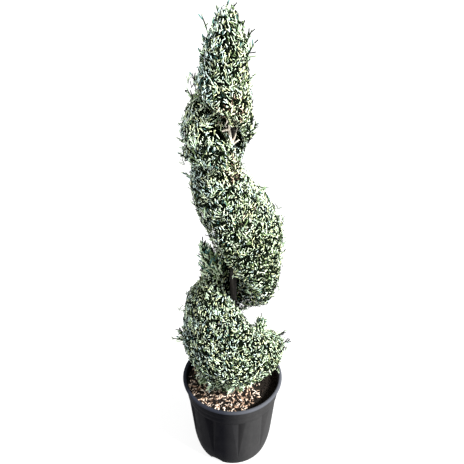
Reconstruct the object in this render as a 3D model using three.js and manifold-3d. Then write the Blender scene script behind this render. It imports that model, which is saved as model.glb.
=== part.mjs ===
// A juniper clipped into a spiral, in its fluted nursery container.
// Millimetres, +Z up, the origin at the middle of the pot's underside.
import * as THREE from "three";
import { ConvexGeometry } from "three/addons/geometries/ConvexGeometry.js";
import { mergeVertices } from "three/addons/utils/BufferGeometryUtils.js";
import Module from "manifold-3d";

const wasm = await Module();
wasm.setup();

// ---------- driving dimensions ----------

const gap = 0.35; // kept between neighbouring solids

const pot = {
  height: 295,
  wall: 3,
  floor: 4,
  sides: 40,
  side: [[0, 118.5], [12, 122.5], [60, 131.5], [229, 145.5]], // height, outer radius
  collar: { low: 229, radius: 147.5, step: 256, stepRadius: 151, top: 283, topRadius: 153.5 },
  bead: { reach: 160, radius: 5.5, inner: 151 },
  flutes: { count: 10, top: 229, foot: 40, depth: 10, width: 43, first: -82 },
  notches: { count: 3, width: 43, height: 17, depth: 8, first: -116 },
};

const soil = { edge: 264, middle: 272, domeRadius: 62 };

const trunk = {
  tip: 1345,
  radii: [[272, 23], [284, 16.5], [305, 13], [400, 12], [650, 9.6], [1000, 7], [1200, 4.6], [1345, 2.2]],
  lean: [[272, -1], [400, 0], [650, 2], [1050, 2], [1150, -2], [1250, -9], [1345, -14]], // height, x
  rootLobes: 5,
};

// Height, radius of the clipped crown, and how far its middle lies towards +X.
const crown = [
  [280, 100, -6], [340, 124, -6], [400, 150, 8], [440, 159, 3], [520, 147, -3], [600, 132, -3], [650, 119, 16],
  [700, 117, 21], [800, 116, 20], [850, 116, 20], [900, 112, 6], [960, 106, -6], [1015, 88, -18], [1050, 88, -36],
  [1100, 90, -39], [1140, 84, -38], [1190, 75, -31], [1240, 62, -22], [1300, 52, -16], [1345, 31, -12],
  [1392, 6, -12],
];

// The groove cut round the crown: turns from the right-hand side, height, half its height.
const groove = [
  [-1.2, 0, 52], [-0.5, 305, 52], [0, 525, 38], [0.25, 695, 46], [0.5, 806, 58], [0.62, 812, 78], [0.75, 885, 66],
  [1, 1018, 54], [1.12, 1052, 48], [1.25, 1118, 18], [1.5, 1228, 8], [2, 1400, 8],
];

const ribbon = {
  from: -0.27,
  to: 2.4,
  masses: 14,
  inner: [[300, 24], [900, 21], [1200, 12]], // height, radius of the free space round the trunk
  floor: 318,
  ceiling: 1228,
  squareness: 2.8, // 2 would make the section an ellipse
  core: { outer: 0.88, edge: 0.92, inner: 0.6 }, // shares of the section
  reach: 1.05, // how far sprays may stand past the section
  seam: 0.0006, // turns left free at each end of a mass
};

const leader = { low: 1214, top: 1370, end: 1391, core: 0.76, reach: 1.08, sprays: 40, length: [40, 58] };

const bough = { rise: 0.85, rootRadius: 4.2, tipRadius: 2.6, sides: 7, lowest: soil.middle + 26 };
const stem = { straight: 8, radius: 2.4, endRadius: 1.6 }; // the limb that goes on inside a mass
const twig = { every: 5, radius: 1.8, endRadius: 0.8 };

const spray = { length: [54, 74], width: 23, thickness: 11, waist: 0.42, area: 2500 };

// Long shoots that the shears missed: azimuth in degrees, height and reach of the end, length, rise in degrees.
const shootWidth = 14;
const shoots = [
  [188, 446, 190, 95, 30], [172, 520, 158, 80, 40], [190, 808, 92, 120, 78], [178, 796, 80, 110, 80],
  [172, 905, 112, 70, 35], [180, 1085, 136, 80, 35], [176, 1200, 112, 80, 55],
  [-2, 424, 188, 90, 30], [3, 470, 170, 70, 45], [0, 508, 98, 75, 70], [6, 655, 140, 60, 30],
  [-4, 770, 150, 60, 30], [10, 1120, 62, 50, 50],
  [184, 1300, 84, 80, 70], [178, 1350, 64, 80, 75], [170, 1374, 40, 80, 78],
  [0, 1330, 42, 80, 70], [-14, 1302, 47, 80, 65], [80, 1362, 26, 70, 75],
];

// ---------- helpers ----------

let seed = 7;

// A repeatable random number from low to high.
function random(low = 0, high = 1) {
  seed = (seed * 16807) % 2147483647;
  return low + ((high - low) * seed) / 2147483647;
}

// The value in a column of a table at x, smoothed through its rows.
function along(table, x, column = 1) {
  const last = table.length - 1;
  if (x <= table[0][0]) return table[0][column];
  if (x >= table[last][0]) return table[last][column];
  const i = table.findIndex((row) => row[0] > x) - 1;
  const slope = (j) => {
    const before = table[Math.max(j - 1, 0)];
    const after = table[Math.min(j + 1, last)];
    return (after[column] - before[column]) / (after[0] - before[0]);
  };
  const span = table[i + 1][0] - table[i][0];
  const t = (x - table[i][0]) / span;
  const start = table[i][column];
  const end = table[i + 1][column];
  return (
    start * (1 + 2 * t) * (1 - t) ** 2 +
    end * t * t * (3 - 2 * t) +
    span * t * (1 - t) * (slope(i) * (1 - t) - slope(i + 1) * t)
  );
}

// A geometry with only its positions, and each corner shared by its faces.
function weldedOf(geometry) {
  const bare = geometry.clone();
  bare.deleteAttribute("normal");
  bare.deleteAttribute("uv");
  return mergeVertices(bare, 1e-3);
}

// A closed three.js geometry as a solid.
function solidOf(geometry) {
  const merged = weldedOf(geometry);
  return new wasm.Manifold(
    new wasm.Mesh({
      numProp: 3,
      vertProperties: merged.attributes.position.array,
      triVerts: new Uint32Array(merged.index.array),
    }),
  );
}

// A solid as a flat-shaded geometry.
function geometryOf(solid) {
  const made = solid.getMesh();
  const geometry = new THREE.BufferGeometry();
  geometry.setAttribute("position", new THREE.BufferAttribute(made.vertProperties, 3));
  geometry.setIndex(new THREE.BufferAttribute(made.triVerts, 1));
  const flat = geometry.toNonIndexed();
  flat.computeVertexNormals();
  return flat;
}

// A solid as a named mesh with its own material.
function meshOf(name, solid, color, roughness) {
  const material = new THREE.MeshStandardMaterial({ color, roughness, metalness: 0 });
  const mesh = new THREE.Mesh(geometryOf(solid), material);
  mesh.name = name;
  return mesh;
}

// A solid turned about Z from [radius, height] points that start and end on the axis.
function turned(points) {
  const profile = points.map(([radius, height]) => new THREE.Vector2(radius, height));
  const geometry = new THREE.LatheGeometry(profile, pot.sides);
  geometry.rotateX(Math.PI / 2);
  return solidOf(geometry);
}

// A unit cylinder bent to shape: place(t, across, up) gives the point, t running from 0 to 1.
function bent(sides, steps, place) {
  const geometry = new THREE.CylinderGeometry(1, 1, 1, sides, steps);
  const position = geometry.attributes.position;
  for (let i = 0; i < position.count; i++) {
    const point = place(position.getY(i) + 0.5, position.getZ(i), position.getX(i));
    position.setXYZ(i, point.x, point.y, point.z);
  }
  return solidOf(geometry);
}

// A straight tapering limb with a blunt end.
function limb(from, to, fromRadius, toRadius, sides) {
  const length = from.distanceTo(to);
  const geometry = new THREE.CylinderGeometry(toRadius, fromRadius, length, sides);
  geometry.translate(0, length / 2, 0);
  const direction = to.clone().sub(from).normalize();
  geometry.applyQuaternion(new THREE.Quaternion().setFromUnitVectors(new THREE.Vector3(0, 1, 0), direction));
  geometry.translate(from.x, from.y, from.z);
  return solidOf(geometry);
}

// The outer skin of the largest body: sealed hollows are filled and loose scraps dropped.
function oneBody(solid) {
  const bodies = solidOf(geometryOf(solid)).decompose();
  return bodies.reduce((best, body) => (body.volume() > best.volume() ? body : best));
}

// Whether each edge has two faces and the skin is in one piece once its corners are welded.
function isSound(solid) {
  const geometry = geometryOf(solid);
  const corners = weldedOf(geometry).index.array;
  const uses = new Map();
  for (let i = 0; i < corners.length; i += 3) {
    for (const [a, b] of [[0, 1], [1, 2], [2, 0]]) {
      const ends = [corners[i + a], corners[i + b]].sort((low, high) => low - high);
      const key = ends.join();
      uses.set(key, (uses.get(key) ?? 0) + 1);
    }
  }
  return [...uses.values()].every((count) => count === 2) && solidOf(geometry).decompose().length === 1;
}

// The parts fused one by one into the first, leaving out any that would not fuse soundly.
function fused(parts) {
  return parts.reduce((whole, part) => {
    const next = oneBody(whole.add(part));
    return isSound(next) ? next : whole;
  });
}

function polar(radius, angle, height) {
  return new THREE.Vector3(radius * Math.cos(angle), radius * Math.sin(angle), height);
}

function radians(degrees) {
  return (degrees * Math.PI) / 180;
}

function subtractAll(solid, cutters) {
  return cutters.reduce((left, cutter) => left.subtract(cutter), solid);
}

// ---------- pot and soil ----------

// The straight-line value of a table at x.
function straight(table, x) {
  const row = Math.max(table.findIndex(([level]) => level >= x), 1);
  const [low, high] = [table[row - 1], table[row]];
  return low[1] + ((high[1] - low[1]) * (x - low[0])) / (high[0] - low[0]);
}

function wallRadius(height) {
  return straight(pot.side, height);
}

// Heights and radii of the inside of the wall, from the floor to the bead.
function insideWall() {
  const { side, collar, wall, floor } = pot;
  return [
    [floor, wallRadius(floor) - wall],
    ...side.slice(1).map(([level, radius]) => [level, radius - wall]),
    [collar.step - wall, collar.radius - wall],
    [collar.top - wall, collar.topRadius - wall],
  ];
}

// The wedges that press the V-shaped flutes into the wall, grown by a wall's thickness for the inside.
function fluteWedges(grow) {
  const { count, top, foot, depth, width, first } = pot.flutes;
  const outside = 6;
  const spread = width / 2 / depth;
  const low = foot - 2 * grow;
  const high = top + grow;
  const inset = 1.15 * grow;
  const corners = (radius, sink, height) => [
    new THREE.Vector3(radius - sink, 0, height),
    new THREE.Vector3(radius + outside, (sink + outside) * spread, height),
    new THREE.Vector3(radius + outside, -(sink + outside) * spread, height),
  ];
  return Array.from({ length: count }, (_, i) => {
    const geometry = new ConvexGeometry([
      ...corners(wallRadius(top), depth + inset, high),
      ...corners(wallRadius(low), inset, low),
    ]);
    geometry.rotateZ(radians(first + (360 * i) / count));
    return solidOf(geometry);
  });
}

// The arched drain notches round the foot of the wall.
function drainNotches(grow) {
  const { count, width, height, depth, first } = pot.notches;
  const outside = 20;
  return Array.from({ length: count }, (_, i) => {
    const length = depth + outside + grow;
    const geometry = new THREE.CylinderGeometry(1, 1, length, 14);
    geometry.rotateZ(Math.PI / 2);
    geometry.scale(1, width / 2 + grow, height + grow);
    geometry.rotateX(Math.PI / 2);
    geometry.scale(1, (width / 2 + grow) / (height + grow), (height + grow) / (width / 2 + grow));
    geometry.translate(pot.side[0][1] + outside - length / 2, 0, 0);
    geometry.rotateZ(radians(first + (360 * i) / count));
    return solidOf(geometry);
  });
}

function makePot() {
  const { side, collar, bead, height, wall, floor } = pot;
  const middle = [bead.reach - bead.radius, height - bead.radius];
  const roll = Array.from({ length: 5 }, (_, i) => {
    const angle = radians(-90 + 45 * i);
    return [middle[0] + bead.radius * Math.cos(angle), middle[1] + bead.radius * Math.sin(angle)];
  });
  const outer = turned([
    [0, 0],
    ...side.map(([level, radius]) => [radius, level]),
    [collar.radius, collar.low + 1],
    [collar.radius + 0.8, collar.step - 1],
    [collar.stepRadius, collar.step],
    [collar.topRadius, collar.top],
    ...roll,
    [0, height],
  ]);
  const plug = turned([
    [0, floor],
    ...insideWall().map(([level, radius]) => [radius, level]),
    [bead.inner, height + 1],
    [0, height + 1],
  ]);
  const hollow = subtractAll(plug, [...fluteWedges(wall), ...drainNotches(wall)]);
  return subtractAll(outer, [...fluteWedges(0), ...drainNotches(0), hollow]);
}

// The filling: slim enough to pass the flutes, and filling the collar above them.
function makeSoil() {
  const inside = insideWall();
  const shoulder = pot.flutes.top + 2 * pot.wall;
  const slim = pot.flutes.depth + pot.wall + gap;
  const kinks = inside.map(([level]) => level).filter((level) => level > shoulder && level < soil.edge);
  return turned([
    [0, pot.floor + gap],
    [straight(inside, pot.floor) - slim, pot.floor + gap],
    [straight(inside, 60) - slim, 60],
    [straight(inside, shoulder) - slim, shoulder],
    ...[shoulder, ...kinks, soil.edge].map((level) => [straight(inside, level) - gap, level]),
    [soil.domeRadius * 1.7, soil.edge + 4],
    [soil.domeRadius, soil.middle],
    [0, soil.middle],
  ]);
}

// ---------- trunk and boughs ----------

function trunkMiddle(height) {
  return new THREE.Vector3(along(trunk.lean, height), 0, height);
}

// The whole trunk from its flat cut on the soil to its tip, or grown by a gap to cut its neighbours clear.
function makeTrunk(grow = 0) {
  const foot = soil.middle + gap;
  return bent(10, 22, (t, across, up) => {
    const height = foot + (trunk.tip - foot) * t ** 1.25 + (grow ? grow * (2 * t - 1) : 0);
    const angle = Math.atan2(-across, up);
    const flare = Math.max(0, along(trunk.radii, height) - 12) * 0.14;
    const radius = along(trunk.radii, height) + flare * Math.cos(trunk.rootLobes * angle) + grow;
    return trunkMiddle(height).add(polar(Math.hypot(across, up) * radius, angle, 0));
  });
}

const trunkCutter = makeTrunk(gap);

// ---------- the clipped ribbon ----------

function crownReach(height, angle) {
  return along(crown, height) + along(crown, height, 2) * Math.cos(angle);
}

// The low and high edges of the ribbon after a number of turns.
function band(turn) {
  const low = Math.max(along(groove, turn - 1) + along(groove, turn - 1, 2), ribbon.floor);
  const high = Math.min(along(groove, turn) - along(groove, turn, 2), ribbon.ceiling);
  return { low, high };
}

// A point of the ribbon: its turn, its share of the way out in the section, and the angle round the section.
function ribbonPoint(turn, share, around) {
  const { low, high } = band(turn);
  const power = ribbon.squareness;
  const norm = Math.abs(Math.cos(around)) ** power + Math.abs(Math.sin(around)) ** power;
  const outward = share / norm ** (1 / power);
  const level = (low + high) / 2 + (outward * Math.sin(around) * (high - low)) / 2;
  const height = Math.min(level, leader.low - 3);
  const angle = -2 * Math.PI * turn;
  const inner = along(ribbon.inner, height);
  const radius = inner + ((crownReach(height, angle) - inner) * (1 + outward * Math.cos(around))) / 2;
  return polar(radius, angle, height);
}

// A point of the ribbon's core, share 1 being the core's own surface.
function corePoint(turn, share, around) {
  const { outer, edge, inner } = ribbon.core;
  const side = Math.cos(around) > 0 ? outer : inner;
  return ribbonPoint(turn, share * (edge + (side - edge) * Math.cos(around) ** 2), around);
}

// The turn of a point, and its share of the way out in the ribbon's section there.
function ribbonPlace(point, nearTurn) {
  const angle = Math.atan2(point.y, point.x);
  const turn = Math.round(nearTurn + angle / (2 * Math.PI)) - angle / (2 * Math.PI);
  const { low, high } = band(turn);
  const inner = along(ribbon.inner, point.z);
  const across = (2 * (Math.hypot(point.x, point.y) - inner)) / (crownReach(point.z, angle) - inner) - 1;
  const up = (2 * point.z - low - high) / (high - low);
  const power = ribbon.squareness;
  return { turn, share: (Math.abs(across) ** power + Math.abs(up) ** power) ** (1 / power) };
}

// ---------- sprays and twigs ----------

// The six corners of a flat pointed spray of foliage.
function sprayCorners(root, direction, twist, length, width, thickness) {
  const side = twist.clone().cross(direction).normalize();
  const face = side.clone().cross(direction).normalize();
  const waist = root.clone().addScaledVector(direction, length * spray.waist);
  return {
    basis: new THREE.Matrix4().makeBasis(side, direction, face).setPosition(waist),
    points: [
      root,
      root.clone().addScaledVector(direction, length),
      waist.clone().addScaledVector(side, width / 2),
      waist.clone().addScaledVector(side, -width / 2),
      waist.clone().addScaledVector(face, thickness / 2),
      waist.clone().addScaledVector(face, -thickness / 2),
    ],
  };
}

// A stretched octahedron, eight faces, widest at its waist.
function spraySolid(basis, length, width, thickness) {
  const geometry = new THREE.OctahedronGeometry(1);
  const position = geometry.attributes.position;
  for (let i = 0; i < position.count; i++) {
    const y = position.getY(i);
    const y2 = y > 0.5 ? length * (1 - spray.waist) : y < -0.5 ? -length * spray.waist : 0;
    position.setXYZ(i, (position.getX(i) * width) / 2, y2, (position.getZ(i) * thickness) / 2);
  }
  geometry.applyMatrix4(basis);
  return solidOf(geometry);
}

// The shortest distance between two straight pieces, found at steps along the first.
function distanceBetween(from, to, other) {
  const line = new THREE.Line3(other.from, other.to);
  const near = new THREE.Vector3();
  const spots = [0, 0.2, 0.4, 0.6, 0.8, 1].map((t) => from.clone().lerp(to, t));
  return Math.min(...spots.map((spot) => spot.distanceTo(line.closestPointToPoint(spot, true, near))));
}

// Adds one spray to a mass, cut back to keep to the mass's space; one that touches the bough is skipped.
function addSpray(parts, root, direction, wanted, inside, boughLine, width = spray.width * random(0.8, 1.15)) {
  const thickness = spray.thickness * random(0.9, 1.1);
  const twist = new THREE.Vector3(random(-1, 1), random(-1, 1), random(-1, 1));
  for (let length = wanted; length > wanted * 0.45; length *= 0.88) {
    const { basis, points } = sprayCorners(root, direction, twist, length, width, thickness);
    if (!points.every(inside)) continue;
    if (boughLine && distanceBetween(points[0], points[1], boughLine) < width / 2 + 6) return false;
    parts.push(spraySolid(basis, length, width, thickness));
    return true;
  }
  return false;
}

function shootLines() {
  return shoots.map(([azimuth, level, reach, length, rise]) => {
    const inward = length * Math.cos(radians(rise));
    const foot = polar(reach - inward, radians(azimuth), level - length * Math.sin(radians(rise)));
    return { foot, end: polar(reach, radians(azimuth), level) };
  });
}

// Adds a long narrow spray along a line.
function addShoot(parts, { foot, end }, inside, boughLine) {
  const heading = end.clone().sub(foot);
  addSpray(parts, foot, heading.clone().normalize(), heading.length(), inside, boughLine, shootWidth);
}

// ---------- one mass of the ribbon with its bough ----------

function ribbonPiece(index) {
  const step = (ribbon.to - ribbon.from) / ribbon.masses;
  const from = ribbon.from + index * step + ribbon.seam;
  const to = ribbon.from + (index + 1) * step - ribbon.seam;
  const turn = (from + to) / 2;
  const socket = ribbonPoint(turn, ribbon.core.inner, Math.PI);
  const heart = ribbonPoint(turn, 0, 0);
  const angle = -2 * Math.PI * turn;
  const tipRadius = Math.hypot(socket.x, socket.y) - 5;
  const tip = polar(tipRadius, angle, socket.z - 3);
  const rootHeight = tip.z - bough.rise * tipRadius;
  const root = trunkMiddle(Math.max(rootHeight, bough.lowest));
  const line = { from: root, to: tip };
  const { rootRadius, sides } = bough;
  const boughSolid = limb(root, tip, rootRadius, bough.tipRadius, sides).subtract(trunkCutter);

  const ahead = tip.clone().sub(root).normalize();
  const stemFoot = tip.clone().addScaledVector(ahead, gap);
  const elbow = stemFoot.clone().addScaledVector(ahead, stem.straight);
  const boughCutter = limb(root, stemFoot, rootRadius + gap, bough.tipRadius + gap, sides);
  const core = bent(10, 4, (t, across, up) =>
    corePoint(from + (to - from) * t, Math.hypot(across, up), Math.atan2(up, across)));
  const stemSolid = limb(stemFoot, elbow, bough.tipRadius, stem.radius, 6).add(
    limb(elbow.clone().addScaledVector(ahead, -3), heart, stem.radius, stem.endRadius, 6));
  const parts = [core.subtract(boughCutter), stemSolid];

  const inside = (limit) => (point) => {
    const { turn: at, share } = ribbonPlace(point, turn);
    return at > from && at < to && share < limit && point.z < leader.low - 1;
  };
  const { low, high } = band(turn);
  const reach = crownReach((low + high) / 2, angle);
  const wanted = Math.round(((high - low) * reach * 2 * Math.PI * step) / spray.area);
  let made = 0;
  for (let attempt = 0; attempt < wanted * 20 && made < wanted; attempt++) {
    const at = random(from + 0.01, to - 0.01);
    const around = radians(random(-125, 125));
    const rootPoint = corePoint(at, 0.8, around);
    const outward = ribbonPoint(at, 1, around).sub(ribbonPoint(at, 0.4, around)).normalize();
    const direction = new THREE.Vector3(random(-0.3, 0.3), random(-0.3, 0.3), random(-0.2, 0.7));
    direction.addScaledVector(outward, 0.8).normalize();
    const length = random(...spray.length);
    made += addSpray(parts, rootPoint, direction, length, inside(ribbon.reach), line);
    if (made % twig.every === 1) {
      const twigFoot = heart.clone().lerp(rootPoint, 0.5);
      const twigEnd = rootPoint.clone().addScaledVector(direction, length * 0.5);
      const clear = distanceBetween(twigFoot, twigEnd, line) > rootRadius + 3;
      if (clear && inside(1)(twigEnd)) parts.push(limb(twigFoot, twigEnd, twig.radius, twig.endRadius, 3));
    }
  }
  for (const shoot of shootLines()) {
    const { turn: at, share } = ribbonPlace(shoot.foot, turn);
    if (at > from && at < to && share < ribbon.core.outer) addShoot(parts, shoot, inside(3), line);
  }
  return { bough: oneBody(boughSolid), mass: fused(parts) };
}

// ---------- the leader round the trunk's tip ----------

function leaderPoint(height, across, up) {
  const radius = along(crown, height);
  return new THREE.Vector3(along(crown, height, 2) + radius * across, radius * up, height);
}

function makeLeader() {
  const { low, top, end, core, reach, sprays } = leader;
  const parts = [
    bent(10, 7, (t, across, up) => {
      const rounding = core * Math.min(1, 0.9 + t, 0.4 + 3 * (1 - t));
      return leaderPoint(low + 2 + (top - low - 2) * t, rounding * up, -rounding * across);
    }),
  ];
  const inside = (point) => {
    const away = Math.hypot(point.x - along(crown, point.z, 2), point.y);
    return point.z > low + 1 && point.z < end + 3 && away < Math.max(reach * along(crown, point.z), 9);
  };
  let made = 0;
  for (let attempt = 0; attempt < sprays * 12 && made < sprays; attempt++) {
    const height = low + 6 + (top - low - 20) * (made / sprays);
    const angle = made * 2.4 + random(-0.5, 0.5);
    const root = leaderPoint(height, core * 0.8 * Math.cos(angle), core * 0.8 * Math.sin(angle));
    const direction = new THREE.Vector3(random(-0.3, 0.3), random(-0.3, 0.3), random(0.5, 1.1));
    direction.addScaledVector(polar(1, angle, 0), 0.6).normalize();
    made += addSpray(parts, root, direction, random(...leader.length), inside, null);
  }
  for (const shoot of shootLines().filter(({ foot }) => foot.z > low + 8)) {
    addShoot(parts, shoot, (point) => point.z > low + 1, null);
  }
  const tip = trunkMiddle(trunk.tip + gap);
  parts[0] = parts[0].subtract(trunkCutter).add(limb(tip, trunkMiddle(trunk.tip).setZ(end), 2.2, 1.5, 5));
  return fused(parts);
}

// ---------- assembly ----------

const group = new THREE.Group();
group.add(meshOf("pot", makePot(), 0x34353a, 0.5));
group.add(meshOf("soil", makeSoil(), 0x6d5647, 0.95));
group.add(meshOf("trunk", makeTrunk(), 0x4f4a47, 0.9));

for (let i = 0; i < ribbon.masses; i++) {
  const piece = ribbonPiece(i);
  const number = String(i + 1).padStart(2, "0");
  group.add(meshOf(`bough_${number}`, piece.bough, 0x5a4c42, 0.9));
  group.add(meshOf(`foliage_${number}`, piece.mass, 0x86a08c, 0.85));
}
group.add(meshOf("leader", makeLeader(), 0x8ba591, 0.85));

export default group;
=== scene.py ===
import math

import bpy
import numpy as np
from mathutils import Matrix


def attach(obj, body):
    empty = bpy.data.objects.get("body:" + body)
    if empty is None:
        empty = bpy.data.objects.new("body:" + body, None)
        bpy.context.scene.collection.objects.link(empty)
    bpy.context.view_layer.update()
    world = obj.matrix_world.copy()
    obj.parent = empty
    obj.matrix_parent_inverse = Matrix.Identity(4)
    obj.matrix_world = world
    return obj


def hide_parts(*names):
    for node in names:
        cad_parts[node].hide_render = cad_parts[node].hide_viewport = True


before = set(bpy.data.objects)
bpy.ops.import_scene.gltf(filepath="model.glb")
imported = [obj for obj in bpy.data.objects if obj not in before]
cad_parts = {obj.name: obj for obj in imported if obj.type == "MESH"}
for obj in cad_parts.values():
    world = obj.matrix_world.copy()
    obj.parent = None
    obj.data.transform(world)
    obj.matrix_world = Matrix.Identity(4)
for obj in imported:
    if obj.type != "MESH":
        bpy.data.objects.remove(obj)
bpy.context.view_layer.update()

mm = 0.001
fullTurn = 2 * math.pi


# meshes and materials

def linked(name, mesh):
    piece = bpy.data.objects.new(name, mesh)
    bpy.context.scene.collection.objects.link(piece)
    return piece


def setSmooth(mesh, smooth=True):
    mesh.polygons.foreach_set("use_smooth", np.full(len(mesh.polygons), smooth, bool))


def toObject(name, points, faces, materials, materialIndex=None):
    # points in millimetres, faces with one number of corners
    mesh = bpy.data.meshes.new(name)
    mesh.from_pydata(np.asarray(points, np.float32) * mm, [], np.asarray(faces))
    setSmooth(mesh)
    for material in materials:
        mesh.materials.append(material)
    if materialIndex is not None:
        mesh.polygons.foreach_set("material_index", np.asarray(materialIndex, np.int32))
    return linked(name, mesh)


def mixedObject(name, points, *faceLists):
    # points in millimetres, lists of faces that differ in their number of corners, and no material yet
    mesh = bpy.data.meshes.new(name)
    faces = [face for faceList in faceLists for face in np.asarray(faceList).tolist()]
    mesh.from_pydata((np.asarray(points) * mm).tolist(), [], faces)
    return linked(name, mesh)


def finishPiece(piece, slot, *replaced):
    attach(piece, "root")
    if replaced:
        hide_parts(*replaced)
    print(piece.name, len(piece.data.polygons), "faces")


def gridFaces(rows, columns):
    # quads of a grid of rows running up and columns that close round
    across = np.arange(columns)
    beside = (across + 1) % columns
    low = np.arange(rows - 1)[:, None] * columns
    corners = [low + across, low + beside, low + columns + beside, low + columns + across]
    return np.stack(corners, -1).reshape(-1, 4)


def capFaces(middle, first, columns, upwards):
    # triangles from a middle point to the ring of points that starts at first
    ring = first + np.arange(columns)
    beside = np.roll(ring, -1)
    return np.stack([np.full(columns, middle), *((ring, beside) if upwards else (beside, ring))], -1)


def setInputs(node, values):
    # numbers and colours are written in, other nodes' outputs are linked
    for key, value in values.items():
        socket = node.inputs[key]
        if isinstance(value, bpy.types.NodeSocket):
            node.id_data.links.new(value, socket)
        else:
            socket.default_value = (*value, 1) if socket.type == "RGBA" else value


def addNode(tree, kind, inputs, **settings):
    node = tree.nodes.new(kind)
    for key, value in settings.items():
        setattr(node, key, value)
    setInputs(node, inputs)
    return node


def setShader(material, values):
    setInputs(material.node_tree.nodes["Principled BSDF"], values)


def closedRings(name, bottom, rings, top):
    # rings of points on the way up, closed by a middle point below and one above
    rows, columns = rings.shape[:2]
    last = rows * columns + 1
    points = np.concatenate([[bottom], rings.reshape(-1, 3), [top]])
    return mixedObject(name, points, gridFaces(rows, columns) + 1, capFaces(0, 1, columns, False),
                       capFaces(last, last - columns, columns, True))


def newMaterial(name, color, roughness, specular=0.5):
    material = bpy.data.materials.new(name)
    material.use_nodes = True
    material.diffuse_color = (*color, 1)     # what the viewport shows
    setShader(material, {"Base Color": color, "Roughness": roughness, "Specular IOR Level": specular})
    return material


def noiseField(material, scale, detail, roughness, stretch=(1, 1, 1)):
    # a noise texture on the object's own coordinates, stretched along its axes
    tree = material.node_tree
    where = addNode(tree, "ShaderNodeTexCoord", {})
    mapping = addNode(tree, "ShaderNodeMapping", {"Vector": where.outputs["Object"], "Scale": stretch})
    noise = addNode(tree, "ShaderNodeTexNoise", {"Vector": mapping.outputs["Vector"], "Scale": scale,
                                                 "Detail": detail, "Roughness": roughness})
    return noise.outputs["Fac"]


def colorRamp(material, source, stops):
    ramp = addNode(material.node_tree, "ShaderNodeValToRGB", {"Fac": source})
    elements = ramp.color_ramp.elements
    while len(elements) < len(stops):
        elements.new(0.5)
    for element, (place, color) in zip(elements, stops):
        element.position = place
        element.color = (*color, 1)
    return ramp.outputs["Color"]


def mixColors(material, factor, first, second):
    inputs = {0: factor, 6: first, 7: second}
    return addNode(material.node_tree, "ShaderNodeMix", inputs, data_type="RGBA").outputs[2]


def addBump(material, source, distance, strength):
    inputs = {"Height": source, "Distance": distance, "Strength": strength}
    bump = addNode(material.node_tree, "ShaderNodeBump", inputs)
    setShader(material, {"Normal": bump.outputs["Normal"]})


def risingShare(material, source, low, high, most):
    # nothing up to low, rising to the most at high
    inputs = {"Value": source, "From Min": low, "From Max": high, "To Min": 0.0, "To Max": most}
    return addNode(material.node_tree, "ShaderNodeMapRange", inputs).outputs["Result"]


def product(material, first, second):
    inputs = {0: first, 1: second}
    return addNode(material.node_tree, "ShaderNodeMath", inputs, operation="MULTIPLY").outputs[0]


def grainy(name, color, roughness, specular, noise, stops, bump):
    # a material whose colours and relief follow one noise
    material = newMaterial(name, color, roughness, specular)
    grain = noiseField(material, *noise)
    setShader(material, {"Base Color": colorRamp(material, grain, stops)})
    addBump(material, grain, *bump)
    return material


# numbers that vary smoothly

def along(table, x, column=1):
    # the value in a column of a table at x, smoothed through its rows
    rows = np.asarray(table, float)
    places, values = rows[:, 0], rows[:, column]
    x = np.clip(np.asarray(x, float), places[0], places[-1])
    before = np.maximum(np.arange(len(rows)) - 1, 0)
    after = np.minimum(np.arange(len(rows)) + 1, len(rows) - 1)
    slopes = (values[after] - values[before]) / (places[after] - places[before])
    i = np.clip(np.searchsorted(places, x, side="right") - 1, 0, len(rows) - 2)
    span = places[i + 1] - places[i]
    t = (x - places[i]) / span
    straight = values[i] * (1 + 2 * t) * (1 - t) ** 2 + values[i + 1] * t * t * (3 - 2 * t)
    return straight + span * t * (1 - t) * (slopes[i] * (1 - t) - slopes[i + 1] * t)


def softNoise(points, seed=0):
    # smooth noise from -1 to 1 on a unit lattice, whose corners get their values from their whole numbers
    points = np.asarray(points, float)
    corner = np.floor(points).astype(np.int64)
    t = points - corner
    t = t * t * (3 - 2 * t)
    total = np.zeros(len(points))
    for step in np.ndindex(2, 2, 2):
        cell = corner + step
        mixed = cell[:, 0] * 73856093 ^ cell[:, 1] * 19349663 ^ cell[:, 2] * 83492791 ^ seed * 2654435761
        mixed = (mixed ^ (mixed >> 13)) * 1274126177
        value = ((mixed ^ (mixed >> 16)) & 65535) / 32767.5 - 1
        total += value * np.prod(np.where(step, t, 1 - t), axis=1)
    return total


def allRound(count):
    return np.linspace(0, fullTurn, count, endpoint=False)


def polar(radius, angle, height):
    return np.stack(np.broadcast_arrays(radius * np.cos(angle), radius * np.sin(angle), height), -1)


def unit(vectors):
    return vectors / np.maximum(np.linalg.norm(vectors, axis=-1, keepdims=True), 1e-9)


# the clipped shape, as in the part's source

# height, radius of the crown, and how far its middle lies towards +X
crown = [
    [280, 100, -6], [340, 124, -6], [400, 150, 8], [440, 159, 3], [520, 147, -3], [600, 132, -3],
    [650, 119, 16], [700, 117, 21], [800, 116, 20], [850, 116, 20], [900, 112, 6], [960, 106, -6],
    [1015, 88, -18], [1035, 80, -26], [1050, 88, -36], [1082, 86, -34], [1100, 90, -39], [1140, 84, -38],
    [1190, 75, -31], [1240, 62, -22], [1300, 52, -16], [1345, 31, -12], [1392, 6, -12],
]

# the groove round the crown: turns from the right-hand side, height, half its height
groove = [
    [-1.2, 0, 52], [-0.5, 305, 52], [0, 515, 48], [0.1, 581, 53], [0.25, 695, 46], [0.4, 768, 60],
    [0.5, 812, 64], [0.62, 812, 78], [0.75, 885, 66], [0.9, 985, 80], [1, 1018, 54], [1.12, 1052, 48],
    [1.25, 1118, 18], [1.5, 1228, 8], [2, 1400, 8],
]

# the band of foliage between the grooves: its turns, inner radius by height, and how square its section is
ribbon = {"from": -0.27, "to": 2.4, "masses": 14, "inner": [[300, 24], [900, 21], [1200, 12]],
          "floor": 318, "ceiling": 1228, "squareness": 2.8}
leader = {"low": 1214, "top": 1384, "overlap": 4}

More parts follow.
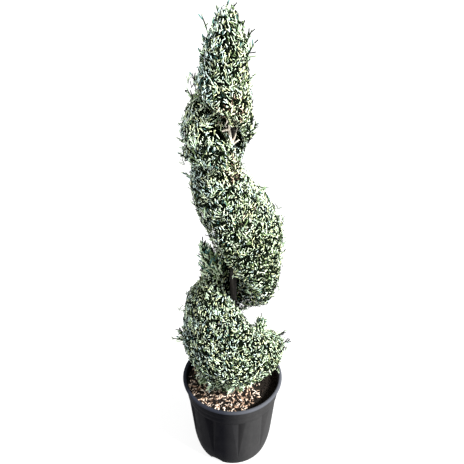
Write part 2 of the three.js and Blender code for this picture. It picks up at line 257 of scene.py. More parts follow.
# long shoots that the shears missed: azimuth in degrees, height and reach of the end, length, rise in degrees
shoots = [
    [188, 468, 184, 90, 15], [184, 478, 166, 80, 30], [186, 506, 146, 80, 66], [172, 540, 152, 70, 40],
    [187, 490, 160, 70, 50], [191, 474, 170, 70, 22], [182, 486, 168, 70, 44], [190, 812, 90, 120, 80],
    [178, 800, 84, 110, 80], [204, 788, 62, 90, 80], [192, 796, 88, 90, 78], [186, 788, 82, 90, 82],
    [198, 784, 72, 90, 84], [180, 780, 64, 90, 84], [172, 905, 112, 70, 35], [180, 997, 126, 60, 35],
    [182, 1048, 134, 60, 16], [179, 1060, 128, 50, 30], [180, 1085, 134, 60, 35], [176, 1200, 106, 80, 55],
    [-2, 440, 180, 80, 30], [3, 470, 166, 70, 45], [0, 524, 88, 66, 80], [6, 512, 100, 60, 66],
    [-2, 520, 84, 60, 84], [12, 512, 80, 50, 86], [2, 516, 94, 60, 74], [-8, 508, 76, 50, 86],
    [6, 655, 138, 60, 30], [-4, 770, 146, 60, 30], [10, 1120, 62, 50, 50], [184, 1290, 74, 70, 70],
    [182, 1318, 65, 60, 66], [179, 1362, 68, 110, 76], [172, 1380, 36, 80, 80], [200, 1350, 46, 70, 74],
    [0, 1332, 44, 80, 68], [-12, 1306, 50, 80, 58], [-30, 1348, 30, 70, 70], [60, 1383, 8, 80, 84],
    [225, 1388, 16, 80, 88], [250, 1372, 20, 70, 80], [300, 1366, 26, 70, 78], [10, 1232, 48, 60, 60],
    [188, 1238, 92, 90, 72],
]

# rows of such shoots that stand close together, from the first to the last
tufts = [
    {"first": [190, 806, 88, 74, 82], "last": [200, 752, 44, 60, 78], "spread": [9, 4, 3, 5, 4], "count": 20},
    {"first": [3, 518, 88, 44, 84], "last": [2, 492, 100, 44, 66], "spread": [7, 5, 4, 4, 4], "count": 10},
]
shootSprays = {"longer": 1.1, "growth": {"width": 4.6, "sides": 16, "bending": 0.1}}

trunk = {
    "foot": 266, "tip": 1345,
    "radii": [[266, 25], [284, 16.5], [305, 13], [400, 12], [650, 9.6], [1000, 7], [1200, 4.6], [1345, 2.2]],
    "lean": [[272, -1], [400, 0], [650, 2], [1050, 2], [1150, -2], [1250, -9], [1345, -14]],
    "rootLobes": 5, "lobeFrom": 12, "lobeDepth": 0.14, "knots": 0.05, "knotPitch": 38, "relief": 0.55,
    "sides": 44, "rings": 300, "clearance": 6,
}
bough = {"rise": 0.85, "socket": 0.6, "lowestRoot": 298, "rootRadius": 4.4, "heartRadius": 1.7,
         "collar": [1.6, 0.9, 0.3], "relief": 0.3, "sides": 12, "rings": 18}


def crownReach(height, angle):
    return along(crown, height) + along(crown, height, 2) * np.cos(angle)


def band(turn):
    # the ribbon's lower and upper edge, which lie between the groove a turn below and the one above
    low = np.maximum(along(groove, turn - 1) + along(groove, turn - 1, 2), ribbon["floor"])
    high = np.minimum(along(groove, turn) - along(groove, turn, 2), ribbon["ceiling"])
    return low, high


def ribbonPoint(turn, share, around):
    # share is 0 in the middle of the ribbon's section and 1 on its surface, around turns about that middle
    low, high = band(turn)
    power = ribbon["squareness"]
    norm = np.abs(np.cos(around)) ** power + np.abs(np.sin(around)) ** power
    outward = share / norm ** (1 / power)
    height = (low + high) / 2 + outward * np.sin(around) * (high - low) / 2
    height = np.minimum(height, leader["low"] + leader["overlap"])
    angle = -fullTurn * turn
    inner = along(ribbon["inner"], height)
    radius = inner + (crownReach(height, angle) - inner) * (1 + outward * np.cos(around)) / 2
    return polar(radius, angle, height)


def leaderPoint(height, share, around):
    point = polar(along(crown, height) * share, around, height)
    point[..., 0] += along(crown, height, 2)
    return point


def trunkMiddle(height):
    return np.stack([along(trunk["lean"], height), np.zeros(np.shape(height)), height], -1)


# pot

pot = {
    "height": 295, "wall": 3, "thickFoot": 26, "segments": 10, "underside": [0, 60, 108],
    "side": [[0, 116.5], [0.6, 118], [2.5, 119.3], [12, 122.5], [35, 127.8], [60, 131.5], [140, 138],
             [229, 145.5]],
    # radius and height on the way up the collar, and on the way down behind the rim
    "collar": [[145.5, 228.5], [145.7, 229], [146.8, 229.7], [147.5, 230.6], [147.9, 243], [148.3, 253.6],
               [148.7, 255], [150.2, 255.8], [151, 256.8], [151.3, 260], [153.1, 278], [153.5, 282.4]],
    "behindRim": [[150.6, 289], [150.5, 279], [144.5, 252]],
    "beadReach": 160, "beadRadius": 5.5, "beadArc": (-86, 150), "beadRows": 18,
    "fluteTop": 229, "fluteFoot": 40, "fluteDepth": 10, "fluteWidth": 43, "fluteFirst": -82,
    "fluteEdge": 1.12, "ribColumns": 7, "sharpAngle": 38,
    "notches": 3, "notchWidth": 43, "notchHeight": 17, "notchDepth": 8, "notchFirst": -116, "notchSides": 20,
}
# the pot's tints: the paler dusty film towards +X is painted sunlight, the lip colour is a painted bluish
# reflection along the rim's top, and the paler rim colour on the right is a painted highlight
plastic = {
    "dark": (0.002, 0.002, 0.0035), "light": (0.0045, 0.0045, 0.006),
    "dustAndPaintedSunlight": (0.075, 0.074, 0.072), "paintedSunlightPlace": (-0.03, 0.06), "paintedSunlightMost": 0.48,
    "lip": (0.040, 0.046, 0.062), "paintedRimHighlight": (0.30, 0.31, 0.34), "lipPlace": (0.284, 0.288), "lipMost": 0.4,
}


def wallRadius(height):
    return np.interp(height, *np.array(pot["side"]).T)


def potProfile():
    # radius and height: up the outside, over the rolled rim, down the inside and to the middle of the floor
    bead, foot = pot["beadRadius"], pot["thickFoot"]
    beadX, beadZ = pot["beadReach"] - bead, pot["height"] - bead
    rows = [(radius, 0) for radius in pot["underside"]]
    rows += [(radius, height) for height, radius in pot["side"][:3]]
    rows += [(wallRadius(z), z) for z in (5, 8, 12, 18, 26, 34)]
    rows += [(wallRadius(z), z) for z in np.linspace(pot["fluteFoot"], pot["fluteTop"] - 1.2, 26)]
    rows += pot["collar"]
    for angle in np.radians(np.linspace(*pot["beadArc"], pot["beadRows"])):
        rows.append((beadX + bead * math.cos(angle), beadZ + bead * math.sin(angle)))
    rows += pot["behindRim"]
    rows += [(wallRadius(z) - pot["wall"], z) for z in np.linspace(pot["fluteTop"], pot["fluteFoot"], 14)]
    return rows + [(wallRadius(foot) - 13, foot), (pot["underside"][1], foot), (0, foot)]


def makePotShell():
    # columns gather at each flute's edges and crease
    sector, edge = fullTurn / pot["segments"], pot["fluteEdge"]
    low, top, width = pot["fluteFoot"], pot["fluteTop"], pot["fluteWidth"]
    inFlute = np.array([-edge, -1.0, -0.9, -0.66, -0.33, -0.06, 0, 0.06, 0.33, 0.66, 0.9, 1.0, edge])
    onRib = np.linspace(0, 1, pot["ribColumns"] + 2)[1:-1]
    share = np.clip(1 - np.abs(np.concatenate([inFlute, np.full(len(onRib), 2.0)])), 0, 1)
    soft = np.where(share < 0.1, share * share / 0.2, share - 0.05)
    rows = potProfile()
    points = []
    for radius, z in rows:
        rise = np.clip((z - low) / (top - low), 0, 1)
        depth = pot["fluteDepth"] * rise if z < top and radius > 100 else 0
        half = max(pot["fluteDepth"] * rise, 1.2) * (width / 2 / pot["fluteDepth"]) / max(wallRadius(z), 1)
        if not low <= z <= top + 30:
            half = width / 2 / 150
        reach = radius - depth * np.clip(soft, 0, 1) / 0.95
        local = np.concatenate([inFlute * half, half * edge + onRib * (sector - 2 * edge * half)])
        for k in range(pot["segments"]):
            points.append(polar(reach, math.radians(pot["fluteFirst"]) + k * sector + local, z))
    columns = pot["segments"] * (len(inFlute) + len(onRib))
    grid = np.concatenate(points).reshape(len(rows), columns, 3)
    piece = closedRings("potShell", grid[0, 0], grid[1:-1], grid[-1, 0])
    cutNotches(piece)
    piece.data.materials.clear()
    piece.data.materials.append(potPlastic())
    setSmooth(piece.data)
    piece.data.set_sharp_from_angle(angle=math.radians(pot["sharpAngle"]))
    return piece


def cutNotches(piece):
    # arched recesses round the foot of the wall
    half, below, beyond = pot["notchWidth"] / 2, -5, 150
    arc = np.linspace(0, math.pi, pot["notchSides"])
    across = np.concatenate([[half], half * np.cos(arc), [-half]])
    up = np.concatenate([[below], pot["notchHeight"] * np.sin(arc), [below]])
    size = len(across)
    points, faces = [], []
    for k in range(pot["notches"]):
        angle = math.radians(pot["notchFirst"]) + k * fullTurn / pot["notches"]
        ring = len(points) + np.arange(size)
        outward = np.array([math.cos(angle), math.sin(angle), 0])
        sideways = np.array([-math.sin(angle), math.cos(angle), 0])
        for reach in (pot["side"][2][1] - pot["notchDepth"], beyond):
            points += [outward * reach + sideways * x + np.array([0, 0, z]) for x, z in zip(across, up)]
        beside = np.roll(ring, -1)
        faces += [[ring[::-1]], [ring + size], np.stack([ring, beside, beside + size, ring + size], -1)]
    cutter = mixedObject("notchCutter", points, *faces)
    cut = piece.modifiers.new("notches", "BOOLEAN")
    cut.operation = "DIFFERENCE"
    cut.solver = "EXACT"
    cut.object = cutter
    settle(piece)
    bpy.data.objects.remove(cutter)


def settle(piece):
    # turns what the modifiers make into the piece's own mesh
    bpy.context.view_layer.update()
    graph = bpy.context.evaluated_depsgraph_get()
    made = bpy.data.meshes.new_from_object(piece.evaluated_get(graph))
    piece.modifiers.clear()
    piece.data = made


def potPlastic():
    # dark plastic with dust and a paler film on its right that is painted sunlight, and a lip with a painted
    # bluish reflection and a painted highlight on its right
    material = newMaterial("potPlastic", (0.010, 0.010, 0.012), 0.5, 0.12)
    broad = noiseField(material, 14, 5, 0.6)
    fine = noiseField(material, 420, 3, 0.6)
    dust = noiseField(material, 60, 6, 0.7, (1, 1, 0.35))
    tint = colorRamp(material, broad, [(0.3, plastic["dark"]), (0.7, plastic["light"])])
    where = addNode(material.node_tree, "ShaderNodeTexCoord", {})
    axes = addNode(material.node_tree, "ShaderNodeSeparateXYZ", {0: where.outputs["Object"]})
    # painted sunlight: paler towards +X, on the sunlit side, and patched with the dust
    paintedSunlightSide = risingShare(material, axes.outputs["X"], *plastic["paintedSunlightPlace"], plastic["paintedSunlightMost"])
    patches = colorRamp(material, dust, [(0.3, (0.6, 0.6, 0.6)), (0.8, (1, 1, 1))])
    dustWithPaintedSunlight = mixColors(material, product(material, paintedSunlightSide, patches), tint, plastic["dustAndPaintedSunlight"])
    # painted reflection and highlight on the rim's top: a bluish lip all round, paler still on the sunlit
    # right
    lip = risingShare(material, axes.outputs["Z"], *plastic["lipPlace"], plastic["lipMost"])
    withPaintedRimHighlight = mixColors(material, product(material, lip, paintedSunlightSide), dustWithPaintedSunlight, plastic["paintedRimHighlight"])
    rough = colorRamp(material, dust, [(0.35, (0.42, 0.42, 0.42)), (0.75, (0.6, 0.6, 0.6))])
    setShader(material, {"Base Color": mixColors(material, lip, withPaintedRimHighlight, plastic["lip"]), "Roughness": rough,
                         "IOR": 1.12})
    addBump(material, fine, 0.0001, 0.5)
    return material


finishPiece(makePotShell(), "pot", "pot")


# peat, bark chips and crumbs

soil = {"edge": 264, "middle": 272, "dome": 62, "shoulder": 105, "radius": 147.0, "rings": 70, "sides": 200,
        "floor": 10, "below": [[104, 10], [117, 60], [128, 230], [142, 236]], "lump": 1.6, "grain": 0.7,
        "calmRim": 8, "sunk": 1.5}


def flatNoise(points, size, seed):
    return softNoise(np.c_[points[:, :2] / size, np.zeros(len(points))], seed)


def soilHeight(points):
    # nearly flat in the middle, lower at the rim, with lumps and grains that calm down next to the wall
    away = np.hypot(points[:, 0], points[:, 1])
    base = np.interp(away, [0, soil["dome"], soil["shoulder"], soil["radius"]],
                     [soil["middle"], soil["middle"], soil["edge"] + 4, soil["edge"]])
    broad = flatNoise(points, 26, 3)
    fine = flatNoise(points, 5, 4)
    calm = np.clip((soil["radius"] - away) / soil["calmRim"], 0, 1)
    return base - soil["sunk"] + calm * (soil["lump"] * broad + soil["grain"] * fine)


def makeSoil():
    sides = soil["sides"]
    radii = np.sqrt(np.linspace(0.0004, 1, soil["rings"])) * soil["radius"]
    angles = allRound(sides)
    top = polar(radii[::-1, None], angles, 0).reshape(-1, 3)
    top[:, 2] = soilHeight(top)
    side = np.concatenate([polar(radius, angles, z) for radius, z in soil["below"]])
    rings = np.concatenate([side, top]).reshape(-1, sides, 3)
    piece = closedRings("peat", [0, 0, soil["floor"]], rings, [0, 0, soil["middle"] - soil["sunk"]])
    piece.data.materials.append(peatMaterial())
    setSmooth(piece.data)
    return piece


def peatMaterial():
    material = newMaterial("peatCrumb", (0.03, 0.02, 0.014), 0.95, 0.2)
    coarse = noiseField(material, 260, 6, 0.7)
    patch = noiseField(material, 28, 3, 0.5)
    stops = [(0.35, (0.004, 0.003, 0.002)), (0.6, (0.014, 0.009, 0.006)), (0.8, (0.05, 0.033, 0.022))]
    crumbs = colorRamp(material, coarse, stops)
    setShader(material, {"Base Color": mixColors(material, patch, crumbs, (0.008, 0.006, 0.004))})
    addBump(material, coarse, 0.0015, 0.9)
    return material


def scatterTree():
    # pieces thrown on a surface, each bent to its own shape: named inputs set their number and sizes
    tree = bpy.data.node_groups.new("scatterPieces", "GeometryNodeTree")
    tree.interface.new_socket("Geometry", in_out="OUTPUT", socket_type="NodeSocketGeometry")
    floats = ("Density", "Smallest", "Largest", "Slimness", "Flatness", "Tilt", "Roughness")
    named = {"Geometry": "Geometry", **dict.fromkeys(floats, "Float"), "Seed": "Int", "Material": "Material"}
    for label, kind in named.items():
        tree.interface.new_socket(label, in_out="INPUT", socket_type="NodeSocket" + kind)
    given = tree.nodes.new("NodeGroupInput").outputs

    def node(kind, inputs, **settings):
        return addNode(tree, kind, inputs, **settings).outputs

    cover = node("GeometryNodeInputNamedAttribute", {"Name": "cover"}, data_type="FLOAT")
    density = node("ShaderNodeMath", {0: given["Density"], 1: cover["Attribute"]}, operation="MULTIPLY")
    spread = node("GeometryNodeDistributePointsOnFaces",
                  {"Mesh": given["Geometry"], "Density": density[0], "Seed": given["Seed"]},
                  distribute_method="RANDOM")
    lump = node("GeometryNodeMeshIcoSphere", {"Radius": 0.5, "Subdivisions": 1})
    size = node("FunctionNodeRandomValue", {2: given["Smallest"], 3: given["Largest"], "Seed": given["Seed"]},
                data_type="FLOAT")
    shape = node("ShaderNodeCombineXYZ", {"X": 1, "Y": given["Slimness"], "Z": given["Flatness"]})
    scale = node("ShaderNodeVectorMath", {0: shape[0], "Scale": size[1]}, operation="SCALE")
    lean = node("FunctionNodeRandomValue", {0: (-1, -1, -1), 1: (1, 1, 1), "Seed": given["Seed"]},
                data_type="FLOAT_VECTOR")
    amount = node("ShaderNodeCombineXYZ", {"X": given["Tilt"], "Y": given["Tilt"], "Z": math.pi})
    turned = node("ShaderNodeVectorMath", {0: lean[0], 1: amount[0]}, operation="MULTIPLY")
    placed = node("GeometryNodeInstanceOnPoints", {"Points": spread["Points"], "Instance": lump["Mesh"],
                                                   "Rotation": turned[0], "Scale": scale[0]})
    real = node("GeometryNodeRealizeInstances", {"Geometry": placed["Instances"]})
    noise = node("ShaderNodeTexNoise", {"Scale": 190, "Detail": 1})
    centred = node("ShaderNodeVectorMath", {0: noise["Color"], 1: (0.5, 0.5, 0.5)}, operation="SUBTRACT")
    jitter = node("ShaderNodeVectorMath", {0: centred[0], "Scale": given["Roughness"]}, operation="SCALE")
    moved = node("GeometryNodeSetPosition", {"Geometry": real["Geometry"], "Offset": jitter[0]})
    painted = node("GeometryNodeSetMaterial", {"Geometry": moved["Geometry"], "Material": given["Material"]})
    addNode(tree, "NodeGroupOutput", {"Geometry": painted["Geometry"]})
    return tree


def scatter(name, tree, surface, material, **sizes):
    piece = linked(name, surface.data.copy())
    modifier = piece.modifiers.new("scatter", "NODES")
    modifier.node_group = tree
    sockets = {item.name: item.identifier for item in tree.interface.items_tree if item.in_out == "INPUT"}
    for label, value in {**sizes, "Material": material}.items():
        modifier[sockets[label]] = value
    settle(piece)
    piece.data.name = name
    setSmooth(piece.data, False)
    return piece


# four tones of bark: the colours of its grain, how many pieces lie on a square metre, and the seed
chips = {
    "barkChipsTan": ((0.66, 0.46, 0.33), (0.20, 0.12, 0.075), 6500.0, 11),
    "barkChipsCream": ((0.86, 0.73, 0.61), (0.44, 0.32, 0.24), 6500.0, 12),
    "barkChipsBrown": ((0.10, 0.055, 0.030), (0.03, 0.017, 0.010), 2400.0, 13),
    "barkChipsDark": ((0.03, 0.018, 0.012), (0.010, 0.006, 0.004), 6000.0, 14),
}
chipSizes = {"Smallest": 0.008, "Largest": 0.019, "Slimness": 0.26, "Flatness": 0.22, "Tilt": 0.5,
             "Roughness": 0.004}
crumbSizes = {"Density": 40000.0, "Smallest": 0.002, "Largest": 0.006, "Slimness": 0.8, "Flatness": 0.6,
              "Tilt": 3.0, "Roughness": 0.002, "Seed": 15}

# where the bark lies thinly, towards the right-hand rim
thinBark = {"start": 62, "slant": 0.25, "fade": 34, "wander": 0.5, "patch": 30, "least": 0.03}
scatterGrid = {"inner": 20, "margin": 6, "rings": 26, "sides": 72, "lift": 2.2}


def scatterSurface():
    # the top of the peat, with how thickly the bark covers it
    sides = scatterGrid["sides"]
    radii = np.linspace(scatterGrid["inner"], soil["radius"] - scatterGrid["margin"], scatterGrid["rings"])
    angles = allRound(sides)
    points = polar(radii[:, None], angles, 0).reshape(-1, 3)
    points[:, 2] = soilHeight(points) + scatterGrid["lift"]
    piece = toObject("scatterSurface", points, gridFaces(len(radii), sides), [])
    bare = (points[:, 0] - thinBark["start"] - thinBark["slant"] * points[:, 1]) / thinBark["fade"]
    bare = bare + thinBark["wander"] * flatNoise(points, thinBark["patch"], 9)
    cover = piece.data.attributes.new("cover", "FLOAT", "POINT")
    cover.data.foreach_set("value", np.clip(1 - bare, thinBark["least"], 1).astype(np.float32))
    return piece


finishPiece(makeSoil(), "soil", "soil")
surface = scatterSurface()
thrown = scatterTree()
for name, (light, deep, density, seed) in chips.items():
    stops = [(0.34, deep), (0.62, light)]
    material = grainy(name, light, 0.85, 0.25, (90, 5, 0.65, (1, 1, 2.5)), stops, (0.0006, 0.8))
    chip = scatter(name, thrown, surface, material, Density=density, Seed=seed, **chipSizes)
    finishPiece(chip, "soil")
everywhere = surface.data.attributes["cover"]
everywhere.data.foreach_set("value", np.ones(len(surface.data.vertices), np.float32))
finishPiece(scatter("peatCrumbs", thrown, surface, peatMaterial(), **crumbSizes), "soil")
bpy.data.objects.remove(surface)


# trunk and boughs

def barkMaterial():
    material = newMaterial("juniperBark", (0.10, 0.085, 0.075), 0.9, 0.25)
    strips = noiseField(material, 130, 5, 0.6, (1, 1, 0.12))
    flakes = noiseField(material, 60, 6, 0.7, (1, 1, 0.4))
    stops = [(0.30, (0.010, 0.009, 0.008)), (0.52, (0.036, 0.033, 0.031)), (0.72, (0.10, 0.092, 0.084))]
    fibre = colorRamp(material, strips, stops)
    warm = colorRamp(material, flakes, [(0.5, (0, 0, 0)), (0.75, (0.55, 0.55, 0.55))])
    setShader(material, {"Base Color": mixColors(material, warm, fibre, (0.055, 0.042, 0.034))})
    addBump(material, strips, 0.0012, 1.0)
    return material


# pale wood on the limbs in the crown's opening, as painted sunlight
paintedSunlitWood = grainy("paintedSunlitLimbWood", (0.62, 0.52, 0.42), 0.8, 0.2, (150, 4, 0.6, (1, 1, 0.15)),
                  [(0.32, (0.30, 0.22, 0.16)), (0.5, (0.88, 0.81, 0.70))], (0.0008, 0.8))
bark = barkMaterial()


def ringFrame(directions, reference, angles):
    # unit vectors square to each direction, at the given angles round it
    side = unit(np.cross(directions, reference))
    other = np.cross(directions, side)
    return np.cos(angles)[None, :, None] * side[:, None] + np.sin(angles)[None, :, None] * other[:, None]


def tube(middles, radii, sides, relief, seed):
    # a closed tube of rings round a line of points, with grooves that run along it
    middles = np.asarray(middles, float)
    angles = allRound(sides)
    ring = ringFrame(unit(np.gradient(middles, axis=0)), [0.31, 0.95, 0.05], angles)
    reach = np.broadcast_to(np.asarray(radii, float).reshape(len(middles), -1), (len(middles), sides)).copy()
    walk = np.concatenate([[0], np.cumsum(np.linalg.norm(np.diff(middles, axis=0), axis=1))])
    lattice = polar(5, angles, walk[:, None] / 45).reshape(-1, 3)
    ridges = softNoise(lattice, seed) + 0.5 * softNoise(lattice * [2.2, 2.2, 3.1], seed + 1)
    reach += relief * ridges.reshape(reach.shape)
    points = (middles[:, None] + ring * reach[..., None]).reshape(-1, 3)
    last = len(points)
    points = np.concatenate([points, middles[:1], middles[-1:]])
    quads = gridFaces(len(middles), sides)
    return points, np.concatenate([quads[:, [0, 1, 2]], quads[:, [0, 2, 3]], capFaces(last, 0, sides, False),
                                   capFaces(last + 1, last - sides, sides, True)])


def joined(parts):
    points = np.concatenate([part[0] for part in parts])
    starts = np.cumsum([0] + [len(part[0]) for part in parts[:-1]])
    return points, np.concatenate([part[1] + start for part, start in zip(parts, starts)])


def makeTrunk():
    heights = trunk["foot"] + (trunk["tip"] - trunk["foot"]) * np.linspace(0, 1, trunk["rings"]) ** 1.15
    angles = allRound(trunk["sides"])
    radii = along(trunk["radii"], heights)
    flare = np.maximum(0, radii - trunk["lobeFrom"]) * trunk["lobeDepth"]
    reach = radii[:, None] + flare[:, None] * np.cos(trunk["rootLobes"] * angles)[None]
    lattice = np.c_[heights / trunk["knotPitch"], np.zeros((len(heights), 2))]
    knots = 1 + trunk["knots"] * softNoise(lattice, 6)
    return tube(trunkMiddle(heights), reach * knots[:, None], trunk["sides"], trunk["relief"], 21)


finishPiece(toObject("trunkBark", *makeTrunk(), [bark]), "bark", "trunk")


def massTurns(index):
    step = (ribbon["to"] - ribbon["from"]) / ribbon["masses"]
    return ribbon["from"] + index * step, ribbon["from"] + (index + 1) * step


def boughLine(index):
    # where one bough leaves the trunk, where it enters its mass, and the middle of the mass
    turn = sum(massTurns(index)) / 2
    socket = ribbonPoint(turn, bough["socket"], math.pi)
    reach = math.hypot(socket[0], socket[1]) - 5
    tip = polar(reach, -fullTurn * turn, socket[2] - 3)
    root = trunkMiddle(max(tip[2] - bough["rise"] * reach, bough["lowestRoot"]))
    return root, tip, ribbonPoint(turn, 0, 0)


def bentLine(start, middle, end, count):
    t = np.linspace(0, 1, count)[:, None]
    return start * (1 - t) ** 2 + 2 * middle * t * (1 - t) + end * t * t


def makeBoughs():
    parts = []
    for index in range(ribbon["masses"]):
        root, tip, heart = boughLine(index)
        line = bentLine(root, tip + (tip - root) * 0.1, heart, bough["rings"])
        radii = np.linspace(bough["rootRadius"], bough["heartRadius"], bough["rings"])
        radii[:len(bough["collar"])] += bough["collar"]
        parts.append(tube(line, radii, bough["sides"], bough["relief"], 30 + index))
    return joined(parts)


# bare limbs in the opening high at the front: from, to, radius at the foot and at the tip;
# only the first one has grey bark; the others are pale as painted sunlight
bareLimbs = [
    [[0, -6, 1036], [-4, -35, 1074], 4.6, 4.0], [[-4, -34, 1070], [-8, -42, 1120], 3.9, 3.3],
    [[-8, -41, 1119], [-24, -58, 1120], 3.2, 1.8], [[-5, -35, 1074], [13, -38, 1124], 2.2, 1.5],
    [[-4, -35, 1076], [16, -40, 1094], 2.0, 1.2], [[-8, -42, 1118], [-9, -66, 1138], 2.6, 2.0],
    [[-15, -66, 1134], [-8, -74, 1162], 2.4, 2.0], [[-8, -74, 1160], [5, -76, 1166], 2.0, 1.2],
    [[-12, -70, 1148], [-2, -76, 1152], 1.8, 1.2],
]


def makeBareLimbs():
    parts, colors = [], []
    rings, sides, relief = 10, 10, 0.25
    for index, (start, end, foot, tip) in enumerate(bareLimbs):
        bow = (np.array(start, float) + end) / 2 + [2.5, -3, 4]
        line = bentLine(np.array(start), bow, np.array(end), rings)
        parts.append(tube(line, np.linspace(foot, tip, rings), sides, relief, 60 + index))
        colors.append(np.full(len(parts[-1][1]), min(index, 1)))
    return toObject("bareLimbs", *joined(parts), [bark, paintedSunlitWood], np.concatenate(colors))


finishPiece(makeBareLimbs(), "bark")
boughNodes = [f"bough_{index + 1:02d}" for index in range(ribbon["masses"])]
finishPiece(toObject("boughsBark", *makeBoughs(), [bark]), "bark", *boughNodes)


# foliage

# layers of sprays at the clipped surface and inside it: square millimetres for each spray, where it ends as a
# share of the section, its length, side strands, their width, and the colours of these and of the main strand
layerParts = ("area", "end", "length", "sides", "width", "look", "stem")
# the gap, middle and deep layers hold dark strands beneath the outer ones: painted shade inside the foliage
layers = [dict(zip(layerParts, row)) for row in (
    (50, (0.90, 0.94), (6, 11), 0, 2.4, "outer", "outer"),
    (92, (0.90, 0.96), (7, 14), 0, 2.6, "gap", "gap"),
    (2400, (0.91, 0.99), (16, 26), 5, 2.3, "outer", "tuft"),
    (3600, (0.98, 1.08), (24, 42), 9, 2.3, "tuft", "stem"),
    (420, (0.76, 0.86), (18, 30), 3, 3.6, "middle", "middle"),
    (110, (0.50, 0.76), (20, 36), 0, 9.0, "deep", "deep"),
)]
# where the sprays have died back to tan and brown: place and size
dead = [[-2, -72, 1163, 42], [8, -72, 1045, 34], [28, -80, 914, 32], [-10, -75, 1020, 26], [54, 80, 600, 70]]
# openings among the sprays that show the dark inside: place and radius
hollows = [[-21, -62, 1116, 17], [6, -62, 1113, 13], [0, -80, 1150, 8]]
twigs = {"area": 1500, "end": (0.68, 0.80), "width": 3.2, "arch": 0.08}
# how the sprays' directions wander, and how far the clipped surface swells and sinks
swirl = {"size": 16, "turn": 1.92, "own": 0.45, "lift": 0.3, "wave": 26, "swell": 0.05}
# how a spray bends and where its side strands fork off
fork = {"bend": (0.5, 1.4), "place": (0.25, 0.75), "ahead": (0.35, 0.9), "aside": 0.8, "scatter": 0.45,
        "least": 5, "share": 0.36, "vary": (0.8, 1.25), "curl": 0.4}
spacing = {"steps": 240, "levels": 9, "nudge": 0.28}
# a spray's width by its room, what is left of one that would hang in the air, how far down a mass's side the
# topmost layer grows, and how much sprays bend
habit = {"slim": 0.25, "vary": (0.85, 1.1), "hanging": 0.4, "underside": -0.4, "bending": 0.5,
         "deepBending": 0.2}
# how near to a mass's middle its twigs start, and how far below its sprays the leader's do
heart = {"pull": 0.75, "inside": (0.15, 0.4), "drop": 12, "below": (24, 46)}
# shares of the colours, which paint sunlight and shade by place: yellow towards the right is painted
# sunlight, blue and teal towards the left painted shade; green and dark, as painted shade: everywhere, low on
# the right, on undersides, to the right, high up
tones = {
    "pale": 0.35, "yellow": 0.36, "blue": 0.8, "teal": (0.9, 1.4), "low": 1100, "high": (1100, 200),
    "green": (0.18, 0.3, 0.25, 0.12, -0.1), "dark": (0.10, 0.3, 0.22, 0.12, -0.16),
}
foliageSeed = 5

# leafDark and leafShade serve as painted shade inside the foliage and below it; leafYellow is painted
# sunlight where dealt to the right, leafBlue and leafTeal painted shade where dealt to the left
leafColors = {
    "leafCream": (0.83, 0.96, 0.70),
    "leafPale": (0.65, 0.84, 0.60),
    "leafGreen": (0.16, 0.23, 0.10),
    "leafYellow": (0.84, 0.90, 0.52),
    "leafBlue": (0.72, 0.90, 0.86),
    "leafDark": (0.005, 0.009, 0.004),
    "leafShade": (0.013, 0.022, 0.009),
    "leafTan": (0.66, 0.54, 0.41),
    "leafBrown": (0.11, 0.070, 0.048),
    "leafTeal": (0.08, 0.20, 0.18),
}
leafMaterials = [newMaterial(name, color, 0.75, 0.05) for name, color in leafColors.items()]
cream, pale, green, yellow, blue, dark, shade, tan, brown, teal = range(len(leafColors))

bentStrand = [(0.08, 0.42), (0.5, 0.5), (0.9, 0.36)]     # place along a strand and half its width there
plainStrand = [(0.12, 0.42), (0.84, 0.40)]
bentFaces, plainFaces = 6 * len(bentStrand), 6 * len(plainStrand)


def strands(starts, directions, lengths, widths, bends, rings):
    # slim three-sided strands with rounded ends that bend on the way
    count = len(starts)
    ring = ringFrame(directions, bends + [0.013, 0.029, 0.007], np.radians([0, 120, 240]))
    rows = [starts[:, None]]
    for t, swell in rings:
        middle = starts + directions * (lengths * t)[:, None] + bends * (lengths * t * t)[:, None]
        rows.append(middle[:, None] + ring * (widths * swell)[:, None, None])
    rows.append((starts + (directions + bends) * lengths[:, None])[:, None])
    points = np.concatenate(rows, 1)
    last = 3 * len(rings) - 2
    sides = [(0, 1), (1, 2), (2, 0)]
    faces = [[0, 2, 1], [0, 3, 2], [0, 1, 3]]
    for low in range(1, last, 3):
        for a, b in sides:
            faces += [[low + a, low + b, low + b + 3], [low + a, low + b + 3, low + a + 3]]
    faces += [[last + a, last + b, last + 3] for a, b in sides]
    starts = (np.arange(count) * points.shape[1])[:, None, None]
    return points.reshape(-1, 3), (np.array(faces)[None] + starts).reshape(-1, 3)


def spots(rng, placeAt, low, high, inward, areaEach):
    # places in staggered rows round a mass's clipped surface, each nudged a little
    steps, levels, nudge = spacing["steps"], spacing["levels"], spacing["nudge"]
    around = np.linspace(-math.pi, math.pi, steps + 1)
    pitch = math.sqrt(areaEach)
    across, up = np.meshgrid(around, np.linspace(low, high, levels))
    line = placeAt(up, 1.0, across)
    length = np.linalg.norm(np.diff(line, axis=0), axis=2).sum(0)
    rows = max(2, round(np.percentile(length, 80) / pitch))
    places, angles = [], []
    for row in range(rows):
        level = low + (high - low) * (row + 0.5) / rows
        ring = placeAt(np.full(steps + 1, level), 1.0, around)
        share = length[:-1] / (rows * pitch) * np.where(np.cos(around[:-1]) < -0.5, inward, 1.0)
        run = np.concatenate([[0], np.cumsum(np.linalg.norm(np.diff(ring, axis=0), axis=1) * share)]) / pitch
        count = int(run[-1])
        place = np.arange(count) + 0.5 * (row % 2) + rng.uniform(-nudge, nudge, count)
        angles.append(np.interp(place % run[-1], run, around))
        places.append(level + (high - low) / rows * rng.uniform(-nudge, nudge, count))
    return np.concatenate(places), np.concatenate(angles)


